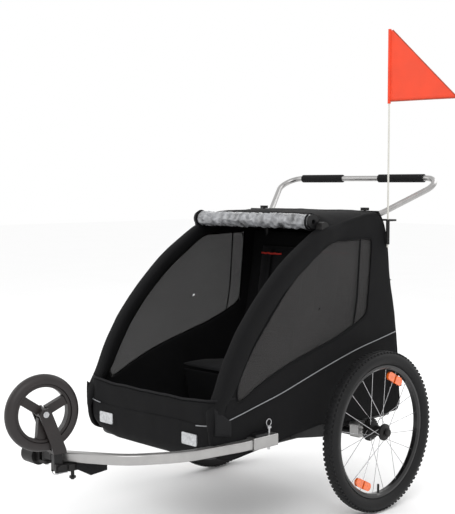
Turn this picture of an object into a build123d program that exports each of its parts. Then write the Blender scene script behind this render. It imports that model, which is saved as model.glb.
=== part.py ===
from build123d import *
import os

# Two-seat child bicycle trailer. Millimetres. +Z up, the front faces -Y, +X is the
# trailer's left side, where the hitch arm runs. Everything is drawn about the point on
# the ground below the middle of the axle, then moved so that the origin is under the
# middle of the whole trailer.

# ---- driving dimensions -------------------------------------------------------------
WHEEL_R = 250.0        # 20-inch wheel, 47-406 tyre
WHEEL_X = 361.0        # wheel plane, from the centre plane
RIM_R = 206.0          # tyre seat
RIM_IN = 193.0         # inner edge of the rim
AXLE_Z = 250.0
SPOKES = 20
RAIL_X = 241.0         # base rails, roof rails and handlebar receivers
RAIL_Z = 262.0
TUBE_R = 12.5
UPRIGHT_X = 205.0
HOOP_X = 267.5
HOOP_R = 11.0
PIVOT_F = (-575.0, 318.0)    # hoop pivot (y, z)
PIVOT_R = (170.0, 345.0)     # rear frame pivot
PIVOT_T = (22.0, 893.0)      # roof rail pivot on the rear frame
ROLL_Y, ROLL_Z, ROLL_R = -190.0, 901.0, 25.0
SIDE_X = 281.0         # inner face of the side cloth
CLOTH = 3.0
BAR_R = 9.5            # handlebar tube
BAR_Y, BAR_Z, BAR_X = 358.0, 1034.0, 369.0
POLE_X, POLE_Y = 290.5, 129.8
SW_R, SW_W = 102.0, 36.0     # stroller wheel
SW_C = (43.0, -1030.0, 419.0)
SW_TURN = 12.0

pieces = {}


def keep(name, part):
    part.label = name
    pieces[name] = part


def tube(points, radii, r_out, r_in=0):
    """Round tube along straight runs joined by tangent bends, into the open part."""
    with BuildLine() as route:
        if len(points) == 2:
            Line(points[0], points[1])
        else:
            FilletPolyline(*points, radius=radii)
    with BuildSketch(Plane(origin=route.line @ 0, z_dir=route.line % 0)) as section:
        Circle(r_out)
        if r_in:
            Circle(r_in, mode=Mode.SUBTRACT)
    sweep(sections=section.sketch, path=route.line)


def side(x, yz):
    return [(x, y, z) for y, z in yz]


def disc_x(x0, x1, y, z, r, r_in=0):
    """Round pin, boss or ring along X, into the open part."""
    with BuildSketch(Plane.YZ.offset(min(x0, x1))) as section:
        with Locations((y, z)):
            Circle(r)
            if r_in:
                Circle(r_in, mode=Mode.SUBTRACT)
    extrude(section.sketch, amount=abs(x1 - x0))


def plate_x(x0, x1, outline, mode=Mode.ADD):
    """Flat plate with a Y-Z outline, from x0 to x1, into the open part."""
    with BuildSketch(Plane.YZ.offset(min(x0, x1))) as section:
        with BuildLine() as edge:
            Polyline(*outline, close=True)
        make_face(edge.line)
    extrude(section.sketch, amount=abs(x1 - x0), mode=mode)


def block(x0, x1, y0, y1, z0, z1, r=0):
    """Rounded block between two corners, into the open part."""
    with BuildSketch(Plane.XY.offset(z0)) as section:
        with Locations(((x0 + x1) / 2, (y0 + y1) / 2)):
            if r:
                RectangleRounded(abs(x1 - x0), abs(y1 - y0), r)
            else:
                Rectangle(abs(x1 - x0), abs(y1 - y0))
    extrude(section.sketch, amount=z1 - z0)


def other_side(left_name, right_name):
    with BuildPart() as copy_part:
        mirror(pieces[left_name], about=Plane.YZ)
    keep(right_name, copy_part.part)


# ---- base frame -----------------------------------------------------------------------
with BuildPart() as base_rails:
    for s in (1, -1):
        tube(side(s * RAIL_X, [(-560, RAIL_Z), (200, RAIL_Z)]), 0, TUBE_R, 10.5)
keep("base_rails", base_rails.part)

with BuildPart() as front_bumper_tube:
    tube([(RAIL_X, -560, RAIL_Z), (RAIL_X, -614, RAIL_Z), (-RAIL_X, -614, RAIL_Z), (-RAIL_X, -560, RAIL_Z)],
         [40, 40], TUBE_R, 10.5)

with BuildPart() as rear_cross_tube:
    tube([(-222, 188, RAIL_Z), (222, 188, RAIL_Z)], 0, 9, 7.5)

# Round tube that carries both wheels, with silver quick-release sockets on its ends.
with BuildPart() as axle_tube:
    tube([(-290, 0, AXLE_Z - 19), (290, 0, AXLE_Z - 19)], 0, 12, 10)
with BuildPart() as cross_tubes:
    add(front_bumper_tube.part)
    add(rear_cross_tube.part)
    add(axle_tube.part)
keep("cross_tubes", cross_tubes.part)
with BuildPart() as left_axle_socket:
    disc_x(258, 316, 0, AXLE_Z + 6, 16)
    with BuildSketch(Plane.YZ.offset(262)) as web:
        with Locations((0, AXLE_Z - 8)):
            RectangleRounded(38, 46, 6)
    extrude(web.sketch, amount=34)
    with BuildSketch(Plane.YZ.offset(250)) as socket_bore:
        with Locations((0, AXLE_Z)):
            Circle(6.4)
    extrude(socket_bore.sketch, amount=80, mode=Mode.SUBTRACT)
    with BuildSketch(Plane.YZ.offset(250)) as socket_seat:
        with Locations((0, AXLE_Z - 19)):
            Circle(12.05)
    extrude(socket_seat.sketch, amount=40.5, mode=Mode.SUBTRACT)
with BuildPart() as axle_sockets:
    add(left_axle_socket.part)
    mirror(left_axle_socket.part, about=Plane.YZ)
keep("axle_sockets", axle_sockets.part)

# Coated fabric floor over the rails, and the two brackets at each rail's ends.
with BuildPart() as floor_pan:
    block(-253, 253, -606, 176, 275, 279, 30)
    with BuildSketch(Plane.XY.offset(270)) as notches:
        with Locations((225, 160), (-225, 160)):
            Rectangle(14, 80)
    extrude(notches.sketch, amount=20, mode=Mode.SUBTRACT)
keep("floor_pan", floor_pan.part)

with BuildPart() as frame_brackets:
    for s in (1, -1):
        plate_x(s * 247, s * 253.5, [(-578, 279.3), (-542, 279.3), (-556, 331), (-582, 331)])
        disc_x(s * 253.5, s * 279.5, PIVOT_F[0], PIVOT_F[1], 4)
        plate_x(s * 222.4, s * 227.4, [(142, 250), (178, 250), (190, 300), (186, 360), (154, 360), (142, 300)])
        disc_x(s * 190, s * 222.4, PIVOT_R[0], PIVOT_R[1], 4)
        disc_x(s * 227.4, s * 230, PIVOT_R[0], PIVOT_R[1], 8)
    for s in (1, -1):
        plate_x(s * 262.4, s * 266, [(19.1, 262), (70, 262), (84, 250), (84, 232), (70, 226), (19.1, 236)])
        disc_x(s * 254, s * 262.4, 70, 243, 4)
keep("frame_brackets", frame_brackets.part)

# ---- fabric body ----------------------------------------------------------------------
SIDE_OUTLINE = [
    (-630, 316), (-640, 350), (-634, 392), (-618, 415), (-603, 441), (-580, 496), (-562, 530),
    (-520, 597), (-478, 647), (-435, 693), (-390, 735), (-347, 773), (-304, 804), (-259, 832),
    (-222, 852), (-214, 872), (-160, 884), (30, 922), (96, 926), (112, 900), (128, 874), (140, 825),
    (157, 705), (175, 639), (188, 560), (197, 470), (204, 389), (222, 284), (60, 286), (-182, 290),
    (-300, 292), (-380, 316),
]
WINDOW = [
    (-128, 842), (60, 846), (36, 610), (-26, 577), (-122, 543), (-215, 520), (-305, 497), (-392, 470),
    (-476, 435), (-540, 404), (-549, 429), (-540, 464), (-515, 506), (-475, 562), (-430, 612),
    (-348, 700), (-304, 740), (-260, 769), (-214, 800), (-169, 826),
]
with BuildPart() as left_side_panel:
    plate_x(SIDE_X, SIDE_X + CLOTH, SIDE_OUTLINE)
    plate_x(SIDE_X - 5, SIDE_X + 8, WINDOW, mode=Mode.SUBTRACT)
    plate_x(SIDE_X + CLOTH + 0.1, SIDE_X + CLOTH + 2.5, [(-632, 404), (-604, 404), (-572, 330), (-600, 313), (-632, 330)])
keep("left_side_panel", left_side_panel.part)
other_side("left_side_panel", "right_side_panel")
with BuildPart() as window_meshes:
    for s in (1, -1):
        plate_x(s * (SIDE_X + 1), s * (SIDE_X + 2), WINDOW)
keep("window_meshes", window_meshes.part)

# Nose: upright front wall with a rolled bottom edge, below the open front.
with BuildPart() as front_panel:
    with BuildSketch(Plane.XZ.offset(630)) as nose_face:
        with Locations((0, 327)):
            RectangleRounded(528, 166, 60)
        with Locations((0, 400)):
            Rectangle(700, 60, mode=Mode.SUBTRACT)
        with Locations((0, 340)):
            Rectangle(528, 60)
    extrude(nose_face.sketch, amount=5)
    with BuildSketch(Plane.XY.offset(241)) as nose_bottom:
        with Locations((0, -611)):
            Rectangle(440, 38)
    extrude(nose_bottom.sketch, amount=3)
keep("front_panel", front_panel.part)

with BuildPart() as front_reflectors:
    for s in (1, -1):
        with BuildSketch(Plane.XZ.offset(635)) as lens:
            with Locations((s * 187, 305)):
                RectangleRounded(60, 33, 4)
        extrude(lens.sketch, amount=4)
keep("front_reflectors", front_reflectors.part)

with BuildPart() as back_panel:
    plate_x(-278, 278, [(150, 825), (166, 705), (186, 620), (196, 540), (206, 470), (212, 389), (230, 290),
                        (226, 290), (208, 389), (202, 470), (192, 540), (182, 620), (162, 705), (146, 825)])
keep("back_panel", back_panel.part)
with BuildPart() as roof_panel:
    plate_x(-240, 240, [(-150, 922), (30, 934), (60, 935), (60, 932), (30, 931), (-150, 919)])
keep("roof_panel", roof_panel.part)

# Seat: bench, two padded backs and the harness straps on them.
with BuildPart() as seat_bench:
    plate_x(-225, 225, [(-40, 408), (-46, 420), (-280, 436), (-292, 424), (-280, 412), (-60, 396)])
    plate_x(-225, 225, [(-286, 406), (-252, 282), (-256, 282), (-290, 406)])
keep("seat_bench", seat_bench.part)
with BuildPart() as seat_backs:
    for s in (1, -1):
        plate_x(s * 6, s * 206, [(-24, 424), (30, 610), (66, 800), (86, 800), (54, 606), (4, 422)])
keep("seat_backs", seat_backs.part)
with BuildPart() as harness:
    for x in (60, 152, -60, -152):
        plate_x(x - 12, x + 12, [(20, 610), (57, 800), (62, 800), (24, 606)])
keep("harness", harness.part)

# ---- rear frame: uprights, top bar, handlebar receivers, latch knobs --------------------
with BuildPart() as rear_uprights:
    tube([(UPRIGHT_X, PIVOT_R[0], PIVOT_R[1] - 22), (UPRIGHT_X, 90, 902), (-UPRIGHT_X, 90, 902),
          (-UPRIGHT_X, PIVOT_R[0], PIVOT_R[1] - 22)], [45, 45], 11, 9)
    for s in (1, -1):
        disc_x(s * 192, s * 218, PIVOT_R[0], PIVOT_R[1], 13)
    for s in (1, -1):
        with BuildSketch(Plane.YZ.offset(-240)) as pivot_hole:
            with Locations(PIVOT_R):
                Circle(4.4)
        extrude(pivot_hole.sketch, amount=480, mode=Mode.SUBTRACT)
keep("rear_uprights", rear_uprights.part)
with BuildPart() as left_receiver:
    tube([(RAIL_X, 52, 911.03), (RAIL_X, 120, 914.9)], 0, 12.5, 9.9)
    plate_x(215.9, 230, [(64, 892), (118, 892), (118, 920), (64, 920)])
    plate_x(226, 230.6, [(10, 882), (70, 896), (70, 916), (10, 904)])
    disc_x(230, 247, PIVOT_T[0], PIVOT_T[1], 4)
    with BuildSketch(Plane.YZ.offset(248)) as button_way:
        with Locations((96, 913.5)):
            Circle(4.0)
    extrude(button_way.sketch, amount=12, mode=Mode.SUBTRACT)
with BuildPart() as handlebar_receivers:
    add(left_receiver.part)
    mirror(left_receiver.part, about=Plane.YZ)
keep("handlebar_receivers", handlebar_receivers.part)

with BuildPart() as latch_knobs:
    for s in (1, -1):
        with BuildSketch(Plane.XY.offset(921)) as stem:
            with Locations((s * 223, 97)):
                Circle(4)
        extrude(stem.sketch, amount=9)
        with BuildSketch(Plane.XY.offset(930)) as head:
            with Locations((s * 223, 97)):
                SlotOverall(30, 19)
        extrude(head.sketch, amount=9)
keep("latch_knobs", latch_knobs.part)
with BuildPart() as left_push_button:
    with BuildSketch(Plane.YZ.offset(250.6)) as button:
        with Locations((96, 913.5)):
            Circle(3.6)
    extrude(button.sketch, amount=5.4)
keep("left_push_button", left_push_button.part)
other_side("left_push_button", "right_push_button")

# ---- handlebar --------------------------------------------------------------------------
with BuildPart() as handlebar:
    tube([(RAIL_X, 62, 911.6), (RAIL_X, 150, 916.6), (BAR_X, BAR_Y, BAR_Z), (-BAR_X, BAR_Y, BAR_Z),
          (-RAIL_X, 150, 916.6), (-RAIL_X, 62, 911.6)], [75, 55, 55, 75], BAR_R, 8)
    for s in (1, -1):
        with BuildSketch(Plane.YZ.offset(s * 260)) as button_hole:
            with Locations((96, 913.5)):
                Circle(4.2)
        extrude(button_hole.sketch, amount=-s * 16, mode=Mode.SUBTRACT)
keep("handlebar", handlebar.part)
with BuildPart() as handlebar_grips:
    for s in (1, -1):
        tube([(s * 82, BAR_Y, BAR_Z), (s * 268, BAR_Y, BAR_Z)], 0, 14, BAR_R)
keep("handlebar_grips", handlebar_grips.part)

# ---- roof frame: side rails, front bar with the rolled rain cover ------------------------
with BuildPart() as roof_rails:
    for s in (1, -1):
        plate_x(s * 237.5, s * 245.5, [(36, 882), (36, 904), (-186, 912), (-202, 908), (-202, 894), (-186, 888)])
    for s in (1, -1):
        with BuildSketch(Plane.YZ.offset(-250)) as pivot_hole:
            with Locations(PIVOT_T):
                Circle(4.4)
            with Locations((ROLL_Y, ROLL_Z)):
                Circle(8.05)
        extrude(pivot_hole.sketch, amount=500, mode=Mode.SUBTRACT)
keep("roof_rails", roof_rails.part)
with BuildPart() as front_bar:
    tube([(-252, ROLL_Y, ROLL_Z), (252, ROLL_Y, ROLL_Z)], 0, 8, 6.5)
with BuildPart() as rolled_cover:
    tube([(-237, ROLL_Y, ROLL_Z), (237, ROLL_Y, ROLL_Z)], 0, ROLL_R, 8.1)
keep("rolled_cover", rolled_cover.part)
with BuildPart() as front_bar_caps:
    add(front_bar.part)
    for s in (1, -1):
        disc_x(s * 246, s * 254, ROLL_Y, ROLL_Z, 22, 7.9)
keep("front_bar", front_bar_caps.part)

# ---- side hoops: bent tubes from the front of the rails to the top, with padded sleeves --
HOOP = [(-575, 318), (-612, 392), (-553, 522), (-440, 668), (-300, 794), (-166, 870)]
with BuildPart() as left_hoop:
    tube(side(HOOP_X, HOOP), [90, 500, 800, 700], HOOP_R, 9.2)
    disc_x(257, 278, PIVOT_F[0], PIVOT_F[1], 13)
    with BuildSketch(Plane.YZ.offset(250)) as pivot_hole:
        with Locations(PIVOT_F):
            Circle(4.4)
    extrude(pivot_hole.sketch, amount=40, mode=Mode.SUBTRACT)
with BuildPart() as left_hoop_sleeve:
    tube(side(HOOP_X, [(-592, 352), (-612, 392), (-553, 522), (-440, 668), (-300, 794), (-200, 850.7164)]),
         [90, 500, 800, 700], 13.0, HOOP_R)
with BuildPart() as left_top_hinge:
    disc_x(256.5, 279.5, -166, 884, 17)
    with BuildLine() as hoop_end:
        Line((HOOP_X, -300, 794), (HOOP_X, -150, 879.1))
    with BuildSketch(Plane(origin=hoop_end.line @ 0, z_dir=hoop_end.line % 0)) as hoop_socket:
        Circle(HOOP_R)
    sweep(sections=hoop_socket.sketch, path=hoop_end.line, mode=Mode.SUBTRACT)
with BuildPart() as side_hoops:
    add(left_hoop.part)
    mirror(left_hoop.part, about=Plane.YZ)
keep("side_hoops", side_hoops.part)
with BuildPart() as hoop_sleeves:
    add(left_hoop_sleeve.part)
    mirror(left_hoop_sleeve.part, about=Plane.YZ)
keep("hoop_sleeves", hoop_sleeves.part)
with BuildPart() as top_hinges:
    add(left_top_hinge.part)
    mirror(left_top_hinge.part, about=Plane.YZ)
keep("top_hinges", top_hinges.part)

# ---- main wheels ------------------------------------------------------------------------
with BuildPart() as left_tyre:
    with BuildSketch(Plane.XZ) as tyre_section:
        with Locations((WHEEL_X, 227.5)):
            Ellipse(23.5, 22.5)
        with Locations((WHEEL_X, 226.5)):
            Ellipse(20.3, 19, mode=Mode.SUBTRACT)
        with Locations((WHEEL_X, RIM_R - 10)):
            Rectangle(80, 20, mode=Mode.SUBTRACT)
        with Locations((WHEEL_X, 210)):
            Rectangle(16, 16, mode=Mode.SUBTRACT)
    revolve(tyre_section.sketch, axis=Axis.X)
LEFT_WHEEL = Location((0, 0, AXLE_Z))
keep("left_tyre", left_tyre.part.moved(LEFT_WHEEL))
with BuildPart() as left_rim:
    with BuildSketch(Plane.XZ) as rim_section:
        with BuildLine() as rim_edge:
            Polyline((WHEEL_X - 12.5, RIM_R), (WHEEL_X - 12.5, 199), (WHEEL_X - 7, RIM_IN), (WHEEL_X + 7, RIM_IN),
                     (WHEEL_X + 12.5, 199), (WHEEL_X + 12.5, RIM_R), close=True)
        make_face()
        with Locations((WHEEL_X, 200)):
            RectangleRounded(17, 7, 2, mode=Mode.SUBTRACT)
    revolve(rim_section.sketch, axis=Axis.X)
keep("left_rim", left_rim.part.moved(LEFT_WHEEL))
with BuildPart() as left_spokes:
    for i in range(SPOKES):
        cross = 2.4 if i % 4 < 2 else -2.4
        flange = WHEEL_X - 20 + cross if i % 2 else WHEEL_X + 20 + cross
        a = (i + 0.5) * 360 / SPOKES
        b = a + (34 if i % 4 < 2 else -34)
        p0 = Vector(flange, 27.5, 0).rotate(Axis.X, b)
        p1 = Vector(WHEEL_X + (-2 if i % 2 else 2), RIM_IN - 0.2, 0).rotate(Axis.X, a)
        tube([p0, p1], 0, 1.0)
keep("left_spokes", left_spokes.part.moved(LEFT_WHEEL))
with BuildPart() as left_hub:
    with BuildSketch(Plane.XZ) as hub_section:
        with BuildLine() as hub_edge:
            Polyline((WHEEL_X - 24, 6.2), (WHEEL_X - 24, 26), (WHEEL_X - 18, 26), (WHEEL_X - 14, 16), (WHEEL_X + 14, 16),
                     (WHEEL_X + 18, 26), (WHEEL_X + 24, 26), (WHEEL_X + 30, 18), (WHEEL_X + 30, 6.2), close=True)
        make_face()
    revolve(hub_section.sketch, axis=Axis.X)
    with BuildSketch(Plane.YZ.offset(WHEEL_X - 37)) as ring:
        Circle(36)
        with PolarLocations(36, 24):
            Rectangle(8, 4.4, mode=Mode.SUBTRACT)
        Circle(6.2, mode=Mode.SUBTRACT)
    extrude(ring.sketch, amount=8)
    with BuildSketch(Plane.YZ.offset(WHEEL_X - 29)) as ring_hub:
        Circle(24)
        Circle(6.2, mode=Mode.SUBTRACT)
    extrude(ring_hub.sketch, amount=5)
keep("left_hub", left_hub.part.moved(LEFT_WHEEL))
with BuildPart() as wheel_axles:
    for s in (1, -1):
        tube([(s * 259, 0, AXLE_Z), (s * (WHEEL_X + 22), 0, AXLE_Z)], 0, 6.0)
keep("wheel_axles", wheel_axles.part)
with BuildPart() as left_hub_cap:
    with BuildSketch(Plane.XZ) as cap_section:
        with BuildLine() as cap_edge:
            Polyline((WHEEL_X + 26, 0), (WHEEL_X + 26, 5.6), (WHEEL_X + 34.5, 5.6), (WHEEL_X + 34.5, 13), (WHEEL_X + 38, 12), (WHEEL_X + 40, 8), (WHEEL_X + 40, 0), close=True)
        make_face()
    revolve(cap_section.sketch, axis=Axis.X)
keep("left_hub_cap", left_hub_cap.part.moved(LEFT_WHEEL))
with BuildPart() as left_wheel_reflectors:
    for a in (63, 243):
        for inner, outer, depth in ((158, 186, 12),):
            with BuildSketch(Plane.YZ.offset(WHEEL_X - 4)) as lens:
                with Locations(Location((172, 0, 0), (0, 0, 1), 90)):
                    SlotOverall(78, 26)
                    with Locations((0, 0)):
                        Rectangle(8, 40, mode=Mode.SUBTRACT)
            lens_solid = extrude(lens.sketch, amount=8, mode=Mode.PRIVATE)
            add(lens_solid.rotate(Axis.X, a))
keep("left_wheel_reflectors", left_wheel_reflectors.part.moved(LEFT_WHEEL))
for n in ("tyre", "rim", "spokes", "hub", "hub_cap", "wheel_reflectors"):
    other_side("left_" + n, "right_" + n)

# ---- parking brake: foot bar behind the axle -----------------------------------------------
with BuildPart() as brake_pedal:
    tube([(-255, 70, 222), (255, 70, 222)], 0, 7, 5.5)
    for s in (1, -1):
        plate_x(s * 254.5, s * 258.5, [(60, 212), (60, 248), (66, 254), (74, 254), (80, 248), (80, 212)])
    for s in (1, -1):
        with BuildSketch(Plane.YZ.offset(-270)) as pivot_hole:
            with Locations((70, 243)):
                Circle(4.4)
        extrude(pivot_hole.sketch, amount=540, mode=Mode.SUBTRACT)
    block(-50, 50, 76, 128, 216, 224, 8)
keep("brake_pedal", brake_pedal.part)

# ---- hitch arm ----------------------------------------------------------------------------
with BuildPart() as arm_side_plate:
    plate_x(262.4, 267, [(-300, 300), (-300, 262), (-140, 240), (-110, 240), (-110, 272), (-290, 303)])
    block(267, 277, -300, -250, 274, 298)
with BuildPart() as arm_receiver:
    with BuildSketch(Plane.XZ.offset(405)) as receiver_section:
        with Locations((294, 286)):
            RectangleRounded(33, 34, 4)
            RectangleRounded(27.4, 28.4, 2.5, mode=Mode.SUBTRACT)
    extrude(receiver_section.sketch, amount=99)
    for y in (-427,):
        with BuildSketch(Plane.XY.offset(255)) as pin_hole:
            with Locations((294, y)):
                Circle(4.3)
        extrude(pin_hole.sketch, amount=60, mode=Mode.SUBTRACT)
keep("arm_receiver", arm_receiver.part)
with BuildPart() as arm_bracket:
    add(arm_side_plate.part)
    plate_x(262.4, 277.2, [(-498, 275), (-498, 294), (-412, 294), (-412, 275)])
    block(280, 308, -492, -442, 303.2, 311, 5)
    plate_x(268, 277.2, [(-492, 294), (-492, 308), (-442, 308), (-442, 294)])
keep("arm_bracket", arm_bracket.part)
with BuildPart() as lock_pin:
    with BuildSketch(Plane.XY.offset(258)) as pin_shank:
        with Locations((294, -427)):
            Circle(4.0)
    extrude(pin_shank.sketch, amount=62)
    with BuildSketch(Plane.XY.offset(320)) as pin_head:
        with Locations((294, -427)):
            Circle(8)
    extrude(pin_head.sketch, amount=6)
    with Locations((294, -427, 335.5)):
        Torus(10, 1.3, rotation=(0, 90, 0))
keep("lock_pin", lock_pin.part)
ARM = [(294, -408, 286), (294, -540, 286), (272, -735, 289), (196, -866, 290), (40, -962, 290)]
with BuildPart() as hitch_arm:
    with BuildLine() as arm_route:
        FilletPolyline(*ARM, radius=[300, 260, 200])
    with BuildSketch(Plane(origin=arm_route.line @ 0, x_dir=(1, 0, 0), z_dir=arm_route.line % 0)) as arm_section:
        RectangleRounded(26, 27, 4)
        RectangleRounded(22, 23, 2.5, mode=Mode.SUBTRACT)
    sweep(sections=arm_section.sketch, path=arm_route.line)
    with BuildSketch(Plane.XY.offset(255)) as pin_hole:
        with Locations((294, -427)):
            Circle(4.3)
    extrude(pin_hole.sketch, amount=60, mode=Mode.SUBTRACT)
keep("hitch_arm", hitch_arm.part)


# ---- stroller wheel, folded up in front of the arm -------------------------------------------
# Its pieces are drawn in a plane through the flip pivot: local x forward, local y up, the
# normal across the wheel.
FLIP = (58.0, -990.0, 268.0)
AHEAD = Vector(0, -1, 0).rotate(Axis.Z, -SW_TURN)
ACROSS = Vector(1, 0, 0).rotate(Axis.Z, -SW_TURN)
LOCAL = Plane(origin=FLIP, x_dir=AHEAD, z_dir=-ACROSS)
AXLE_U, AXLE_V = 42.2, 151.0       # stroller wheel axle from the flip pivot


def slab(lateral0, lateral1, outline, holes=(), mode=Mode.ADD):
    """Plate across the wheel plane between two lateral offsets, with round holes."""
    with BuildSketch(LOCAL.offset(lateral0)) as section:
        with BuildLine() as edge:
            Polyline(*outline, close=True)
        make_face(edge.line)
        for u, v, r in holes:
            with Locations((u, v)):
                Circle(r, mode=Mode.SUBTRACT)
    extrude(section.sketch, amount=lateral1 - lateral0, mode=mode)


def round_slab(lateral0, lateral1, u, v, r, r_in=0, mode=Mode.ADD):
    with BuildSketch(LOCAL.offset(lateral0)) as section:
        with Locations((u, v)):
            Circle(r)
            if r_in:
                Circle(r_in, mode=Mode.SUBTRACT)
    extrude(section.sketch, amount=lateral1 - lateral0, mode=mode)


with BuildPart() as arm_saddle:
    block(34, 86, -972, -922, 258, 275.5, 5)
    for a in (9.8, -15.8):
        slab(a, a + 6, [(12, -12), (12, 12), (-20, 7), (-50, 7), (-50, -10)], [(0, 0, 4.05)])
    round_slab(-18, 18, 0, 0, 4)
    round_slab(16, 20, 0, 0, 8)
    round_slab(-20, -16, 0, 0, 8)
keep("arm_saddle", arm_saddle.part)
with BuildPart() as flip_knuckle:
    slab(-9, 9, [(-12, -6), (-6, -12), (6, -12), (12, -6), (14, 38), (-8, 38)], [(0, 0, 4.4)])
    with BuildSketch(Plane.XY.offset(FLIP[2] + 37.6)) as swivel_plate:
        with Locations(tuple(Vector(*FLIP[:2], 0) + AHEAD * 3)[:2]):
            Circle(19)
    extrude(swivel_plate.sketch, amount=3.6)
keep("flip_knuckle", flip_knuckle.part)
LEG = [(-14, 53.2), (-15, 42), (22, 42), (26, 60), (60, 150), (52, 164), (34, 166), (26, 156)]
with BuildPart() as wheel_fork:
    for a in (21.5, -27):
        slab(a, a + 5.5, LEG, [(AXLE_U, AXLE_V, 4.05)])
    slab(-21.6, 21.6, [(-15, 42), (22, 42), (23, 50.5), (-14, 50.5)])
keep("wheel_fork", wheel_fork.part)
with BuildPart() as fork_axle:
    round_slab(-31, 31, AXLE_U, AXLE_V, 4)
    round_slab(27.1, 30, AXLE_U, AXLE_V, 8, 4)
    round_slab(-30, -27.1, AXLE_U, AXLE_V, 8, 4)
keep("fork_axle", fork_axle.part)
WHEEL_PLANE = Plane(origin=LOCAL.from_local_coords((AXLE_U, AXLE_V, 0)), x_dir=AHEAD, z_dir=-ACROSS)
with BuildPart() as small_tyre:
    with BuildSketch(Plane.XZ) as small_tyre_section:
        with Locations((SW_R - 16.5, 0)):
            Ellipse(16.5, SW_W / 2)
        with Locations((SW_R - 34, 0)):
            Rectangle(20, 50, mode=Mode.SUBTRACT)
    revolve(small_tyre_section.sketch, axis=Axis.Z)
keep("small_tyre", small_tyre.part.moved(WHEEL_PLANE.location))
with BuildPart() as small_rim:
    with BuildSketch(Plane.XZ) as small_rim_section:
        with Locations((SW_R - 28.5, 0)):
            RectangleRounded(9, 26, 2)
        with Locations((9.5, 0)):
            RectangleRounded(10, 38, 2)
    revolve(small_rim_section.sketch, axis=Axis.Z)
    with BuildSketch(Plane.XY.offset(-9)) as small_spokes:
        with PolarLocations(0, 3, start_angle=35):
            with Locations((42, 0)):
                Rectangle(58, 24)
    extrude(small_spokes.sketch, amount=18)
    with BuildSketch(Plane.XY.offset(-30)) as small_bore:
        Circle(4.4)
    extrude(small_bore.sketch, amount=60, mode=Mode.SUBTRACT)
keep("small_rim", small_rim.part.moved(WHEEL_PLANE.location))

# ---- hitch end: coupler on the arm's end, retaining pin, safety strap --------------------------
ARM_END = (22.0, -973.1, 290.0)
with BuildPart() as arm_end_fitting:
    block(-12, 22, -986, -960, 279, 301, 4)
    with BuildSketch(Plane.XY.offset(272)) as fitting_eye:
        with Locations((-16, -973)):
            Circle(13)
    extrude(fitting_eye.sketch, amount=34)
    with BuildSketch(Plane.XY.offset(272)) as arm_clear:
        with BuildLine() as arm_cut:
            Polyline((8.2, -965), (22, -951), (60, -930), (60, -1000), (22, -998), (21.9, -988.4), close=True)
        make_face(arm_cut.line)
    extrude(arm_clear.sketch, amount=40, mode=Mode.SUBTRACT)
    with BuildSketch(Plane.XY.offset(260)) as eye_bore:
        with Locations((-16, -973)):
            Circle(5.1)
    extrude(eye_bore.sketch, amount=60, mode=Mode.SUBTRACT)
keep("arm_end_fitting", arm_end_fitting.part)
with BuildPart() as hitch_coupler:
    block(-48, -2, -987, -959, 263.5, 271.5, 6)
    block(-48, -2, -987, -959, 306.5, 312.5, 6)
    block(-48, -31, -987, -959, 263.5, 312.5, 0)
    with BuildSketch(Plane.YZ.offset(-100)) as cup:
        with Locations((-973, 278)):
            Circle(27)
    extrude(cup.sketch, amount=52)
    with BuildSketch(Plane.YZ.offset(-101)) as cup_mouth:
        with Locations((-973, 278)):
            Circle(20)
    extrude(cup_mouth.sketch, amount=41, mode=Mode.SUBTRACT)
    with BuildSketch(Plane.XY.offset(240)) as cross_bore:
        with Locations((-16, -973)):
            Circle(5.1)
        with Locations((-82, -973)):
            Circle(4.1)
    extrude(cross_bore.sketch, amount=90, mode=Mode.SUBTRACT)
keep("hitch_coupler", hitch_coupler.part)
with BuildPart() as coupler_pin:
    with BuildSketch(Plane.XY.offset(258)) as coupler_shank:
        with Locations((-16, -973)):
            Circle(5)
    extrude(coupler_shank.sketch, amount=58)
    with BuildSketch(Plane.XY.offset(316)) as coupler_head:
        with Locations((-16, -973)):
            Circle(8)
    extrude(coupler_head.sketch, amount=4)
keep("coupler_pin", coupler_pin.part)
with BuildPart() as safety_strap:
    plate_x(86.2, 90, [(-952, 262), (-952, 274), (-880, 270), (-850, 262), (-850, 240), (-905, 236)])
keep("safety_strap", safety_strap.part)
with BuildPart() as hanging_pin:
    with BuildSketch(Plane.XY.offset(222)) as hanging_shank:
        with Locations((44, -932)):
            Circle(5)
    extrude(hanging_shank.sketch, amount=26)
    with BuildSketch(Plane.XY.offset(248)) as hanging_eye:
        with Locations((44, -932)):
            Circle(2)
    extrude(hanging_eye.sketch, amount=9.8)
    with BuildSketch(Plane.XY.offset(226)) as hanging_collar:
        with Locations((44, -932)):
            Circle(9)
    extrude(hanging_collar.sketch, amount=5)
keep("hanging_pin", hanging_pin.part)

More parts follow.
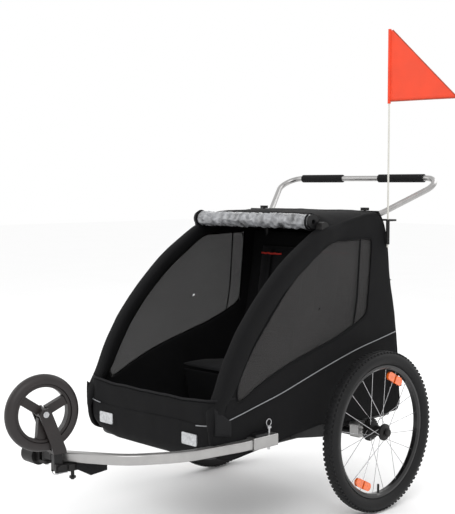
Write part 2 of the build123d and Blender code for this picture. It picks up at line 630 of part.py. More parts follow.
# ---- safety flag on its pole, in a sleeve on the rear frame ------------------------------------
with BuildPart() as pole_sleeve:
    tube([(POLE_X, POLE_Y, 822), (POLE_X, POLE_Y, 901.6)], 0, 6, 3.3)
    block(236, 248, 112, 168, 895.6, 901.6)
    block(236, 296, 158, 168, 895.6, 901.6)
    block(285, 296, POLE_Y, 168, 895.6, 901.6)
    with BuildSketch(Plane.XY.offset(890)) as pole_way:
        with Locations((POLE_X, POLE_Y)):
            Circle(3.3)
    extrude(pole_way.sketch, amount=20, mode=Mode.SUBTRACT)
keep("pole_sleeve", pole_sleeve.part)
with BuildPart() as flag_pole:
    tube([(POLE_X, POLE_Y, 812), (POLE_X, POLE_Y, 1498)], 0, 3)
keep("flag_pole", flag_pole.part)
with BuildPart() as flag:
    with BuildSketch(Plane.XZ.offset(-POLE_Y - 0.6)) as flag_face:
        with BuildLine() as flag_edge:
            Polyline((POLE_X - 3, 1276), (POLE_X - 3, 1498), (POLE_X + 9, 1498), (POLE_X + 252, 1273), close=True)
        make_face(flag_edge.line)
    extrude(flag_face.sketch, amount=1.2)
    tube([(POLE_X, POLE_Y, 1267), (POLE_X, POLE_Y, 1505)], 0, 3.05, 0)
    with BuildSketch(Plane.XY.offset(1255)) as sleeve_bore:
        with Locations((POLE_X, POLE_Y)):
            Circle(3.0)
    extrude(sleeve_bore.sketch, amount=243, mode=Mode.SUBTRACT)
keep("flag", flag.part)

# ---- move everything so that the origin is under the middle of the whole trailer ----------------
low = Vector(1e9, 1e9, 1e9)
high = Vector(-1e9, -1e9, -1e9)
for part in pieces.values():
    b = part.bounding_box()
    low = Vector(min(low.X, b.min.X), min(low.Y, b.min.Y), min(low.Z, b.min.Z))
    high = Vector(max(high.X, b.max.X), max(high.Y, b.max.Y), max(high.Z, b.max.Z))
SHIFT = Vector(-round((low.X + high.X) / 2, 2), -round((low.Y + high.Y) / 2, 2), 0)
print("low", low, "high", high, "shift", SHIFT)
os.makedirs("parts", exist_ok=True)
for name, part in pieces.items():
    placed = part.moved(Location(SHIFT))
    placed.label = name
    export_step(placed, "parts/" + name + ".step")
    print(name, len(placed.solids()), round(placed.volume))
print(len(pieces), "pieces")
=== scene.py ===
import bpy, bmesh, math, random
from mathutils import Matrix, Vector, noise


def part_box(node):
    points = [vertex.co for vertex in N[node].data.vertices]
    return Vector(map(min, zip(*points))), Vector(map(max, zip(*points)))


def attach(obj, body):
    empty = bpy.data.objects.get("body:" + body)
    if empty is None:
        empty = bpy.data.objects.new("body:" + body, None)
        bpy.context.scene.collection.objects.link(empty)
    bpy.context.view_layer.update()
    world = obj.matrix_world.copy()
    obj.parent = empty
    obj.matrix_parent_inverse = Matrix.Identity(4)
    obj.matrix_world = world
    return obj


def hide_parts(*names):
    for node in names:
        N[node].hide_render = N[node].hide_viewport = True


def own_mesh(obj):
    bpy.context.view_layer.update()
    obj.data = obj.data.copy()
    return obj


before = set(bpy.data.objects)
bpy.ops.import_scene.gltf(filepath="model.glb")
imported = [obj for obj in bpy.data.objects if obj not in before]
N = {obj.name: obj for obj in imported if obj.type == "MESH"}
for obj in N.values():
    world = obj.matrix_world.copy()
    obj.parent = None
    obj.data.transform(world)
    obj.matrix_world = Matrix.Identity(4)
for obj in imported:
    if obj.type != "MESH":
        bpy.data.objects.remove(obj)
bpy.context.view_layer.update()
a_lo, a_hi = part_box("wheel_axles")
SX, SY = (a_lo.x + a_hi.x) / 2, (a_lo.y + a_hi.y) / 2   # the axle's middle, in metres


def V(x, y, z):
    return Vector((x / 1000 + SX, y / 1000 + SY, z / 1000))


# ---------------------------------------------------------------- camera and light
cam_data = bpy.data.cameras.new("Camera")
cam = bpy.data.objects.new("Camera", cam_data)
bpy.context.scene.collection.objects.link(cam)
bpy.context.scene.camera = cam
cam.location = V(2293.35, -2558.6, 1015.32)
AZ, PT = math.radians(45.48), math.radians(4.04)
back = Vector((math.sin(AZ) * math.cos(PT), -math.cos(AZ) * math.cos(PT), math.sin(PT)))
cam.rotation_euler = (-back).to_track_quat("-Z", "Y").to_euler()
cam_data.sensor_width = 36
cam_data.sensor_fit = "AUTO"
cam_data.lens = 36 * 1036.6 / 514
cam_data.clip_end = 50

world = bpy.data.worlds.new("World")
bpy.context.scene.world = world
world.use_nodes = True
world.node_tree.nodes["Background"].inputs[0].default_value = (1, 1, 1, 1)
world.node_tree.nodes["Background"].inputs[1].default_value = 1.0


def area(name, loc, target, size, power):
    d = bpy.data.lights.new(name, "AREA")
    d.size = size
    d.energy = power
    o = bpy.data.objects.new(name, d)
    bpy.context.scene.collection.objects.link(o)
    o.location = loc
    o.rotation_euler = (Vector(target) - Vector(loc)).to_track_quat("-Z", "Y").to_euler()


area("Key", (2.2, -2.6, 3.0), (0, 0, 0.5), 2.2, 62)
area("Fill", (-3.0, -1.8, 2.2), (0, 0, 0.5), 2.5, 26)
area("Rim", (0.5, 3.2, 2.8), (0, 0, 0.6), 2.0, 40)
bpy.context.scene.view_settings.view_transform = "Standard"


def link(o):
    bpy.context.scene.collection.objects.link(o)
    return o


# ---------------------------------------------------------------- materials
def material(name, color, rough=0.6, metal=0.0, vary=0.25, vscale=40, bump=0.2, bscale=300, weave=False,
             alpha=1.0, sheen=0.0, coat=0.0, dist=0.0006, detail=4, rvary=0.12, spec=0.4):
    m = bpy.data.materials.new(name)
    m.use_nodes = True
    nt = m.node_tree
    b = nt.nodes["Principled BSDF"]
    tc = nt.nodes.new("ShaderNodeTexCoord")
    n1 = nt.nodes.new("ShaderNodeTexNoise")
    n1.inputs["Scale"].default_value = vscale
    n1.inputs["Detail"].default_value = detail
    nt.links.new(tc.outputs["Object"], n1.inputs["Vector"])
    ramp = nt.nodes.new("ShaderNodeValToRGB")
    lo = [c * (1 - vary) for c in color]
    hi = [min(1.0, c * (1 + vary)) for c in color]
    ramp.color_ramp.elements[0].position = 0.3
    ramp.color_ramp.elements[1].position = 0.7
    ramp.color_ramp.elements[0].color = (*lo, 1)
    ramp.color_ramp.elements[1].color = (*hi, 1)
    nt.links.new(n1.outputs["Fac"], ramp.inputs["Fac"])
    nt.links.new(ramp.outputs["Color"], b.inputs["Base Color"])
    mr = nt.nodes.new("ShaderNodeMapRange")
    mr.inputs["To Min"].default_value = max(0.02, rough - rvary)
    mr.inputs["To Max"].default_value = min(1.0, rough + rvary)
    nt.links.new(n1.outputs["Fac"], mr.inputs["Value"])
    nt.links.new(mr.outputs["Result"], b.inputs["Roughness"])
    b.inputs["Metallic"].default_value = metal
    b.inputs["Specular IOR Level"].default_value = spec
    if alpha < 1:
        b.inputs["Alpha"].default_value = alpha
    if sheen:
        b.inputs["Sheen Weight"].default_value = sheen
        b.inputs["Sheen Roughness"].default_value = 0.5
    if coat:
        b.inputs["Coat Weight"].default_value = coat
    bp = nt.nodes.new("ShaderNodeBump")
    bp.inputs["Strength"].default_value = bump
    bp.inputs["Distance"].default_value = dist
    if weave:
        w1 = nt.nodes.new("ShaderNodeTexWave")
        w2 = nt.nodes.new("ShaderNodeTexWave")
        w1.bands_direction = "Z"
        w2.bands_direction = "DIAGONAL"
        for w in (w1, w2):
            w.inputs["Scale"].default_value = bscale
            w.inputs["Distortion"].default_value = 0.6
            nt.links.new(tc.outputs["Object"], w.inputs["Vector"])
        mx = nt.nodes.new("ShaderNodeMath")
        mx.operation = "MULTIPLY"
        nt.links.new(w1.outputs["Fac"], mx.inputs[0])
        nt.links.new(w2.outputs["Fac"], mx.inputs[1])
        nt.links.new(mx.outputs[0], bp.inputs["Height"])
    else:
        n2 = nt.nodes.new("ShaderNodeTexNoise")
        n2.inputs["Scale"].default_value = bscale
        n2.inputs["Detail"].default_value = 3
        nt.links.new(tc.outputs["Object"], n2.inputs["Vector"])
        nt.links.new(n2.outputs["Fac"], bp.inputs["Height"])
    nt.links.new(bp.outputs["Normal"], b.inputs["Normal"])
    return m


M = dict(
    fabric=material("black_cloth", (0.0035, 0.0035, 0.004), 0.82, vary=0.25, vscale=9, bump=0.5, bscale=330, weave=True, dist=0.0005, spec=0.16),
    seat=material("seat_cloth", (0.008, 0.008, 0.009), 0.84, vary=0.25, vscale=14, bump=0.6, bscale=240, weave=True, sheen=0.03, dist=0.0008, spec=0.2),
    lining=material("lining_cloth", (0.0035, 0.0035, 0.004), 0.86, vary=0.2, vscale=10, bump=0.4, bscale=260, weave=True, spec=0.16),
    mesh=material("window_mesh", (0.026, 0.025, 0.025), 0.6, vary=0.2, vscale=5, bump=0.5, bscale=420, weave=True, alpha=0.80, spec=0.25),
    web=material("webbing", (0.006, 0.006, 0.007), 0.72, vary=0.3, vscale=60, bump=0.8, bscale=500, weave=True, spec=0.2),
    red=material("red_tape", (0.55, 0.03, 0.02), 0.6, vary=0.2, vscale=60, bump=0.5, bscale=500, weave=True),
    piping=material("silver_piping", (0.22, 0.225, 0.235), 0.5, metal=0.2, vary=0.15, vscale=120, bump=0.4, bscale=900),
    film=material("clear_film", (0.21, 0.215, 0.225), 0.14, vary=0.75, vscale=30, bump=1.0, bscale=55, coat=0.8, dist=0.004, detail=8, alpha=0.92, rvary=0.08),
    alu=material("brushed_aluminium", (0.37, 0.365, 0.36), 0.36, metal=0.9, vary=0.07, vscale=30, bump=0.12, bscale=900, dist=0.0003),
    steel=material("zinc_steel", (0.42, 0.42, 0.43), 0.28, metal=1.0, vary=0.1, vscale=60, bump=0.12, bscale=700, dist=0.0003),
    blacktube=material("black_powder_coat", (0.005, 0.005, 0.0055), 0.45, vary=0.15, vscale=50, bump=0.2, bscale=1100, dist=0.0003, spec=0.28),
    plastic=material("black_nylon", (0.007, 0.0065, 0.0065), 0.48, vary=0.2, vscale=40, bump=0.3, bscale=900, dist=0.0004, spec=0.28),
    fork=material("fork_nylon", (0.011, 0.008, 0.0078), 0.42, vary=0.25, vscale=22, bump=0.3, bscale=700, dist=0.0004),
    foam=material("grip_foam", (0.007, 0.007, 0.0075), 0.86, vary=0.3, vscale=200, bump=0.9, bscale=800, dist=0.0008, spec=0.2),
    tyre=material("tyre_rubber", (0.0065, 0.0065, 0.007), 0.64, vary=0.3, vscale=30, bump=0.5, bscale=260, dist=0.0012, spec=0.24),
    smalltyre=material("stroller_tyre", (0.014, 0.011, 0.011), 0.5, vary=0.25, vscale=24, bump=0.35, bscale=350, dist=0.0008),
    rim=material("black_rim", (0.006, 0.006, 0.0065), 0.32, metal=0.2, vary=0.15, vscale=50, bump=0.1, bscale=700, coat=0.3),
    spoke=material("spoke_wire", (0.48, 0.48, 0.49), 0.22, metal=1.0, vary=0.08, vscale=80, bump=0.05, bscale=800),
    white=material("clear_reflector", (0.40, 0.41, 0.42), 0.2, vary=0.25, vscale=160, bump=0.8, bscale=260, coat=1.0, dist=0.001),
    orange=material("orange_reflector", (0.80, 0.13, 0.008), 0.22, vary=0.25, vscale=150, bump=0.8, bscale=260, coat=1.0, dist=0.001),
    amber=material("amber_reflector", (0.85, 0.42, 0.015), 0.22, vary=0.25, vscale=150, bump=0.8, bscale=260, coat=1.0, dist=0.001),
    flag=material("flag_nylon", (0.74, 0.052, 0.012), 0.6, vary=0.08, vscale=12, bump=0.5, bscale=420, weave=True, sheen=0.1),
    hem=material("flag_binding", (0.36, 0.05, 0.02), 0.6, vary=0.2, vscale=60, bump=0.5, bscale=600, weave=True),
    pole=material("white_fibreglass", (0.55, 0.54, 0.50), 0.35, vary=0.06, vscale=30, bump=0.1, bscale=600, coat=0.3),
    floor=material("studio_floor", (0.97, 0.97, 0.97), 0.9, vary=0.005, vscale=2, bump=0.0, bscale=20, spec=0.0),
)


def paint(o, m):
    o.data.materials.clear()
    o.data.materials.append(M[m])
    return o


NODE_MAT = {
    "blacktube": ["base_rails", "cross_tubes", "rear_uprights", "roof_rails", "front_bar", "side_hoops", "frame_brackets", "arm_bracket",
                  "handlebar_receivers", "brake_pedal", "hanging_pin"],
    "alu": ["axle_sockets", "handlebar", "arm_receiver", "hitch_arm"],
    "steel": ["wheel_axles", "left_push_button", "right_push_button", "lock_pin", "fork_axle", "coupler_pin"],
    "plastic": ["latch_knobs", "top_hinges", "left_hub", "right_hub", "left_hub_cap", "right_hub_cap", "arm_saddle", "flip_knuckle",
                "arm_end_fitting", "hitch_coupler", "pole_sleeve"],
    "fork": ["wheel_fork", "small_rim"],
    "lining": ["floor_pan"],
    "web": ["safety_strap"],
    "foam": ["handlebar_grips"],
    "tyre": ["left_tyre", "right_tyre"],
    "smalltyre": ["small_tyre"],
    "rim": ["left_rim", "right_rim"],
    "spoke": ["left_spokes", "right_spokes"],
    "white": ["front_reflectors"],
    "orange": ["left_wheel_reflectors", "right_wheel_reflectors"],
    "pole": ["flag_pole"],
}
for m, names in NODE_MAT.items():
    for n in names:
        paint(N[n], m)


def grid_mesh(name, rows, mat, close_u=False, thick=0.0015, subdiv=0):
    """Quad sheet from rows of points, all the same length."""
    me = bpy.data.meshes.new(name)
    nv = len(rows[0])
    verts = [p for row in rows for p in row]
    faces = []
    for i in range(len(rows) - 1):
        for j in range(nv if close_u else nv - 1):
            k = (j + 1) % nv
            faces.append((i * nv + j, i * nv + k, (i + 1) * nv + k, (i + 1) * nv + j))
    me.from_pydata(verts, [], faces)
    me.update()
    for p in me.polygons:
        p.use_smooth = True
    o = link(bpy.data.objects.new(name, me))
    o.data.materials.append(M[mat])
    if thick:
        s = o.modifiers.new("thick", "SOLIDIFY")
        s.thickness = thick
        s.offset = 0
    if subdiv:
        o.modifiers.new("sub", "SUBSURF").levels = subdiv
    return apply_all(o)


def apply_all(o):
    dg = bpy.context.evaluated_depsgraph_get()
    me = bpy.data.meshes.new_from_object(o.evaluated_get(dg))
    o.modifiers.clear()
    o.data = me
    return o


def area_of(o, share=0.5):
    return sum(p.area for p in o.data.polygons) * share


def cloth(o, body="base", flat=None, fold=True):
    a = area_of(o)
    if flat is None:
        lo = [min(v.co[i] for v in o.data.vertices) for i in range(3)]
        hi = [max(v.co[i] for v in o.data.vertices) for i in range(3)]
        d = sorted([hi[i] - lo[i] for i in range(3)])
        flat = (d[1] * 1.02, max(d[2], a / d[1]) * 1.02)
    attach(o, body)
    if fold:
        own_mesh(o)
    return o


def tube_piece(name, pts, r, mat, body, fold=False, cyclic=False, sides=8):
    """Round tube through points, as a mesh."""
    cu = bpy.data.curves.new(name + "_route", "CURVE")
    cu.dimensions = "3D"
    cu.bevel_depth = r
    cu.bevel_resolution = 2
    cu.use_fill_caps = not cyclic
    sp = cu.splines.new("NURBS" if len(pts) > 2 else "POLY")
    sp.points.add(len(pts) - 1)
    for q, p in zip(sp.points, pts):
        q.co = (*p, 1)
    if len(pts) > 2:
        sp.order_u = 3
        sp.use_endpoint_u = not cyclic
        sp.use_cyclic_u = cyclic
    sp.resolution_u = 6
    t = link(bpy.data.objects.new(name + "_tmp", cu))
    me = bpy.data.meshes.new_from_object(t.evaluated_get(bpy.context.evaluated_depsgraph_get()))
    bpy.data.objects.remove(t)
    me.name = name
    for p in me.polygons:
        p.use_smooth = True
    o = link(bpy.data.objects.new(name, me))
    o.data.materials.clear()
    o.data.materials.append(M[mat])
    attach(o, body)
    if fold:
        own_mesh(o)
    return o


def resample(loop, n, closed=True):
    pts = [Vector(p) for p in loop]
    if closed:
        pts.append(pts[0].copy())
    d = [0]
    for a, b in zip(pts, pts[1:]):
        d.append(d[-1] + (b - a).length)
    out = []
    m = n if closed else n - 1
    k = 0
    for i in range(n):
        t = d[-1] * i / m
        while k < len(d) - 2 and d[k + 1] < t:
            k += 1
        f = (t - d[k]) / max(1e-9, d[k + 1] - d[k])
        out.append(pts[k].lerp(pts[k + 1], min(1, max(0, f))))
    return out


def smooth(loop, times=2, closed=True):
    for _ in range(times):
        n = len(loop)
        loop = [loop[i] if (not closed and i in (0, n - 1)) else (loop[i - 1] + loop[i] * 2 + loop[(i + 1) % n]) / 4 for i in range(n)]
    return loop


def wob(x, y, z, s=1.0, seed=0.0):
    return noise.noise(Vector((x / 90 * s + seed, y / 90 * s, z / 90 * s)))


# ---------------------------------------------------------------- cabin sides
OUT = [(-600, 256), (-624, 268), (-636, 300), (-640, 350), (-634, 392), (-618, 415), (-603, 441), (-580, 496), (-562, 530),
       (-520, 597), (-478, 647), (-435, 693), (-390, 735), (-347, 773), (-304, 804), (-259, 832), (-222, 854), (-190, 872),
       (-160, 884), (30, 920), (86, 926), (106, 905), (128, 874), (140, 825), (157, 705), (175, 639), (188, 560), (197, 470),
       (204, 389), (218, 290), (214, 272), (85, 270), (-60, 276), (-182, 287), (-300, 276), (-420, 262), (-560, 247)]
WIN = [(-540, 404), (-549, 429), (-540, 464), (-515, 506), (-475, 562), (-430, 612), (-390, 656), (-348, 700), (-304, 740), (-260, 769),
       (-214, 800), (-169, 826), (-128, 842), (-30, 844), (56, 846), (58, 830), (48, 720), (36, 610), (10, 592), (-26, 577), (-122, 543),
       (-215, 520), (-305, 497), (-392, 470), (-476, 435), (-520, 412)]


def pair_loops(n):
    """Outer loop points and, for each, the nearest-direction window point, in the same order."""
    outer = smooth(resample([(y, z, 0) for y, z in OUT], n), 2)
    win = smooth(resample([(y, z, 0) for y, z in WIN], 720), 2)
    c = Vector((-190, 640, 0))
    # march along the window so that the matched index never turns back
    idx = []
    for p in outer:
        best = min(range(720), key=lambda i: (win[i] - p).length + 0.35 * (win[i] - (c + (p - c) * 0.72)).length)
        idx.append(best)
    start = idx[0]
    rel = [(i - start) % 720 for i in idx]
    for i in range(1, n):
        if rel[i] > 700 and i < n * 0.2:
            rel[i] = rel[i - 1]
        rel[i] = max(rel[i], rel[i - 1])
    # even out the runs
    for _ in range(40):
        rel = [rel[0]] + [(rel[i - 1] + rel[i] * 2 + rel[i + 1]) / 4 for i in range(1, n - 1)] + [min(719, (rel[-2] + 719) / 2)]
    inner = [win[int(start + r) % 720] for r in rel]
    return outer, inner


OUTER, INNER = pair_loops(260)


def front_share(y, z):
    """1 along the hoop at the front, 0 along the bottom and the rear."""
    f = 1.0 if (y < -150 and z > 400) else 0.0
    if y < -150 and 330 < z <= 400:
        f = (z - 330) / 70
    if -150 <= y < -60 and z > 780:
        f = (-60 - y) / 90
    return f


for side_name, s in (("left", 1), ("right", -1)):
    rows = []
    M_R = 22
    for r in range(M_R + 1):
        t = r / M_R
        row = []
        for o_p, i_p in zip(OUTER, INNER):
            p = i_p.lerp(o_p, t)
            y, z = p.x, p.y
            gap = (o_p - i_p).length
            d_out = (1 - t) * gap
            fs = front_share(o_p.x, o_p.y)
            x = 282.6
            if fs > 0 and d_out < 54:
                x += 7.5 * fs * math.sin(math.pi * min(1, d_out / 54)) ** 0.6
            if d_out < 10:
                x -= (10 - d_out) ** 2 * 0.03
            if z < 330:
                x -= min(3.0, (330 - z) * 0.06)
            if fs < 0.5 and z < 520:
                x += 1.6 * wob(0, y, z, 1.2, 3.1 + s) + 0.8 * wob(0, y, z, 3.2, 7.7 + s)
            else:
                x += 0.8 * wob(0, y, z, 2.4, 5.0 + s)
            row.append(V(s * x, y, z))
        rows.append(row)
    # the cloth turns in round the frame at its outer edge
    for k, (dx, inset) in enumerate(((4, -1.0), (12, -2.5), (22, -2.5), (30, 0.5), (34, 6), (33, 18), (30, 32), (26, 42))):
        row = []
        for j, (o_p, i_p) in enumerate(zip(OUTER, INNER)):
            fs = front_share(o_p.x, o_p.y)
            g = (i_p - o_p).normalized()
            step = inset if fs > 0 else min(inset, 4) * 0.5
            p = o_p + g * step
            x = 279.5 - dx * (0.45 + 0.55 * fs)
            if p.y < 330:
                x = max(x, 264)
            row.append(V(s * x, p.x, p.y))
        rows.append(row)
    shell = grid_mesh(side_name + "_side_cloth", rows, "fabric", close_u=True, thick=0.0016)
    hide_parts(side_name + "_side_panel")
    cloth(shell, flat=(0.88, 0.72))
    # window
    wl = smooth(resample([(y, z, 0) for y, z in WIN], 200), 2)
    c = Vector((-190, 640, 0))
    wrows = []
    for r in range(16):
        t = 1 - r / 15 * 0.985
        wrows.append([V(s * (281.6 - 3.0 * (1 - t * t)), (c + (p - c) * (t * 1.012)).x, (c + (p - c) * (t * 1.012)).y) for p in wl])
    win = grid_mesh(side_name + "_window", wrows, "mesh", close_u=True, thick=0.0006)
    if s == 1:
        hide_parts("window_meshes")
    cloth(win, flat=(0.62, 0.46))
    # binding round the window, zip line inside it, silver piping below it
    tube_piece(side_name + "_window_binding", [V(s * 284.2, p.x, p.y) for p in resample([(q.x, q.y, 0) for q in wl], 90)], 0.0022, "lining", "base", fold=True, cyclic=True)
    tube_piece(side_name + "_window_zip", [V(s * 282.4, y, z) for y, z in ((0, 846), (-11, 685), (-17, 638), (-32, 575))], 0.0024, "lining", "base", fold=True)
    pipe = [(-582, 363), (-535, 372), (-454, 390), (-371, 407), (-284, 431), (-193, 456), (-99, 480), (-1, 503), (102, 520), (187, 536)]
    tube_piece(side_name + "_piping", [V(s * 285.6, y, z) for y, z in pipe], 0.0016, "piping", "base", fold=True)
    # seam along the inner edge of the padded hoop band
    seam = [(-600, 398), (-588, 440), (-556, 500), (-515, 560), (-470, 618), (-425, 664), (-380, 706), (-335, 744), (-288, 778), (-240, 806), (-190, 832), (-140, 852)]
    tube_piece(side_name + "_band_seam", [V(s * 286.2, y + 8, z - 8) for y, z in seam], 0.0011, "lining", "base", fold=True)
    # front flap; its buckle is made with the nose below
    frows = []
    for i in range(9):
        u = i / 8
        frows.append([V(s * (286.8 + 1.5 * math.sin(v / 6 * math.pi)), -634 + 62 * u, (404 - 44 * u) * (1 - v / 6) + (330 - 12 * u) * v / 6) for v in range(7)])
    flap = grid_mesh(side_name + "_front_flap", frows, "web", thick=0.002)
    cloth(flap, flat=(0.07, 0.09))

print("sides done")

# ---------------------------------------------------------------- nose below the open front
plan = [(282, -556), (283, -585), (281, -607), (273, -622), (258, -631), (236, -634.2), (187, -634.4), (120, -635), (60, -635.5), (0, -636)]
plan = plan + [(-x, y) for x, y in reversed(plan[:-1])]
plan = [(p.x, p.y) for p in resample([(x, y, 0) for x, y in plan], 150, closed=False)]
rows = []
for i in range(34):
    t = i / 33
    row = []
    for x, y in plan:
        side_f = max(0.0, (abs(x) - 150) / 133)
        bottom = 241 + 40 * side_f ** 2.2
        top = 412 + 8 * side_f + 2.0 * wob(x, 0, 0, 1.4, 2.0)
        z = top - (top - bottom) * min(1, t * 1.12)
        inward = 0.0
        low = max(0.0, (z - bottom))
        if low < 42:
            inward = 42 - math.sqrt(max(0, 42 ** 2 - (42 - low) ** 2))
        if t * 1.12 > 1:
            inward = 42 + (t * 1.12 - 1) * 160
        if i == 0:
            inward = 7
        if i == 1:
            inward = 1
        cx, cy = (0, -420)
        d = Vector((cx - x * 0.0, cy - y, 0)) if abs(x) < 236 else Vector((-x, cy - y, 0)) * (abs(x) - 236) / 47 + Vector((0, cy - y, 0)) * (283 - abs(x)) / 47
        d.normalize()
        puff = 1.6 * wob(x, 0, z, 1.1, 9.0) + 0.7 * wob(x, 0, z, 3.0, 4.0)
        if t < 0.04:
            puff *= 0.3
        # the reflectors lie flat on the cloth
        if abs(abs(x) - 187) < 42 and abs(z - 305) < 28:
            puff = 0
        q = Vector((x, y, 0)) + d * (inward + max(-0.4, puff * 0.8))
        row.append(V(q.x, max(q.y, -639), z))
    rows.append(row)
nose = grid_mesh("nose_cloth", rows, "fabric", thick=0.0018)
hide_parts("front_panel")
cloth(nose, flat=(0.72, 0.24))
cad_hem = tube_piece("nose_hem", [V(x, y + 2.5, 414 + 8 * max(0.0, (abs(x) - 150) / 133) + 2.0 * wob(x, 0, 0, 1.4, 2.0)) for x, y in plan[::3]], 0.0036, "web", "base", fold=True)
tube_piece("nose_seam", [V(x, y - 0.8, 349 + 3 * math.sin(x / 90)) for x, y in plan[10:-10:4]], 0.0012, "lining", "base", fold=True)
for s in (1, -1):
    tube_piece("nose_piping_%s" % ("left" if s == 1 else "right"), [V(s * x, y - 0.8, z) for x, y, z in ((283.4, -600, 358), (276, -622, 356), (262, -632, 353), (240, -636, 350), (215, -637, 348))],
               0.0017, "piping", "base", fold=True)
    # buckle on the corner
for s in (1, -1):
    bm = bmesh.new()
    bmesh.ops.create_cube(bm, size=1)
    for v in bm.verts:
        v.co = V(s * (286 + v.co.x * 5), -612 + v.co.y * 26, 352 + v.co.z * 22)
    bmesh.ops.bevel(bm, geom=bm.edges[:], offset=0.0018, segments=2, affect="EDGES")
    me = bpy.data.meshes.new("corner_buckle_%d" % (s + 1))
    bm.to_mesh(me)
    bm.free()
    o = link(bpy.data.objects.new(me.name, me))
    o.data.materials.append(M["plastic"])
    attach(o, "base")
    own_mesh(o)

# ---------------------------------------------------------------- roof and back
rows = []
for i in range(41):
    v = i / 40
    y = -168 + v * 262
    row = []
    edge = 884 + (y + 160) * (922 - 884) / 190 if y < 30 else 921 + (y - 30) * 0.07
    for j in range(81):
        u = -1 + 2 * j / 80
        x = 283.5 * u
        crown = (1 - abs(u) ** 7)
        z = edge - 6 + crown * (936 - edge - (y < 40) * 2.0 * abs(math.sin(u * 3)))
        z = min(z, 933.5) if y > -140 else z - (-140 - y) * 0.25
        z += 1.5 * wob(x, y, 0, 1.0, 1.0) * (1 - abs(u) ** 4) + 0.9 * wob(x, y, 0, 2.6, 6.0)
        row.append(V(x, y, z))
    rows.append(row)
roof = grid_mesh("roof_cloth", rows, "fabric", thick=0.0016)
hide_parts("roof_panel")
cloth(roof, flat=(0.62, 0.30))

bprof = [(96, 929), (110, 915), (124, 895), (134, 868), (146, 822), (160, 705), (182, 620), (196, 540), (206, 470), (211, 389), (222, 310), (224, 286), (206, 277), (180, 274)]
bprof = smooth(resample([(y, z, 0) for y, z in bprof], 60, closed=False), 3, closed=False)
rows = []
for i, p in enumerate(bprof):
    t = i / 59
    row = []
    for j in range(71):
        u = -1 + 2 * j / 70
        x = 282.5 * u
        bulge = (1 - abs(u) ** 3)
        y = p.x - (1 - bulge) * 6 + 5.0 * bulge * math.sin(math.pi * min(1, max(0, (t - 0.3) / 0.6))) * 0.6
        y += 2.4 * wob(x, 0, p.y, 0.9, 11.0) * bulge + 1.0 * wob(x, 0, p.y, 2.5, 13.0)
        row.append(V(x, y, p.y))
    rows.append(row)
backcloth = grid_mesh("back_cloth", rows, "fabric", thick=0.0016)
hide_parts("back_panel")
cloth(backcloth, flat=(0.58, 0.72))
# pocket on the back with its hem
rows = []
for i in range(25):
    t = i / 24
    z = 560 - 230 * t
    row = []
    for j in range(49):
        u = -1 + 2 * j / 48
        yb = 196 + (540 - z) * 0.08
        d = 9 * math.sin(math.pi * min(1, t * 0.9 + 0.12)) * (1 - abs(u) ** 4)
        row.append(V(225 * u, yb + 6 + d + 1.2 * wob(225 * u, 0, z, 2, 21), z - 6 * (1 - u * u) * (1 - t)))
    rows.append(row)
pocket = grid_mesh("back_pocket", rows, "fabric", thick=0.002)
cloth(pocket, flat=(0.47, 0.26))
tube_piece("pocket_hem", [V(225 * u / 10, 204 + (1 - abs(u / 10) ** 4) * 3, 560 - 6 * (1 - (u / 10) ** 2)) for u in range(-10, 11)], 0.003, "web", "base", fold=True)
tube_piece("back_piping", [V(278 * u / 10, 166.5 + 4.5 * (1 - abs(u / 10) ** 3), 705) for u in range(-10, 11)], 0.0016, "piping", "base", fold=True)
# short strap at the left rear edge
rows = []
for i in range(14):
    t = i / 13
    rows.append([V(286 + 2 * math.sin(t * 5), 205 + w + 4 * math.sin(t * 3), 420 - 70 * t) for w in (0, 4, 8, 12, 16)])
cloth(grid_mesh("rear_strap", rows, "web", thick=0.0016), flat=(0.02, 0.08))


# ---------------------------------------------------------------- seat
def cushion(name, x0, x1, prof_front, thick, mat, channels=(), crown=9.0, n_u=44, n_v=60, side_pull=7):
    """Crowned closed pad. prof_front is its front face's middle line as (y, z); thick is its depth behind that."""
    mid = smooth(resample([(y, z, 0) for y, z in prof_front], n_v, closed=False), 3, closed=False)
    rows = []
    for i, p in enumerate(mid):
        t = i / (n_v - 1)
        a, b = mid[max(0, i - 1)], mid[min(n_v - 1, i + 1)]
        tangent = (b - a).normalized()
        nrm = Vector((-tangent.y, tangent.x, 0))
        if nrm.x > 0:
            nrm = -nrm
        ev = 1 - abs(2 * t - 1) ** 8
        row = []
        for j in range(n_u * 2):
            f = j / (n_u * 2) * 2 * math.pi
            u = math.cos(f)
            w = math.sin(f)
            wide = (x1 - x0) / 2 - side_pull * (math.sin(math.pi * t) ** 2) * 0.5
            uu = math.copysign(abs(u) ** 0.55, u)
            ww = math.copysign(abs(w) ** 0.6, w)
            x = (x0 + x1) / 2 + uu * wide
            depth = ww * (thick / 2) * (0.35 + 0.65 * ev)
            if w > 0:
                depth += crown * ev * (1 - abs(uu) ** 3) * 0.5
                for cpos in channels:
                    depth -= 3.2 * math.exp(-((t - cpos) / 0.012) ** 2)
                depth += 1.6 * wob(x, 0, p.y, 1.6, 30) * ev
            q = Vector((p.x, p.y, 0)) + nrm * depth
            row.append(V(x, q.x, q.y))
        rows.append(row)
    # close the two ends
    for end, i in ((0, 0), (1, n_v - 1)):
        c = sum(rows[i if end == 0 else -1], Vector()) / (n_u * 2)
        base_row = rows[0] if end == 0 else rows[-1]
        extra = [[c + (p - c) * k for p in base_row] for k in ((0.7, 0.35, 0.02) if end else (0.02, 0.35, 0.7))]
        rows = rows + extra if end else extra + rows
    o = grid_mesh(name, rows, mat, close_u=True, thick=0)
    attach(o, "base")
    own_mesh(o)
    return o


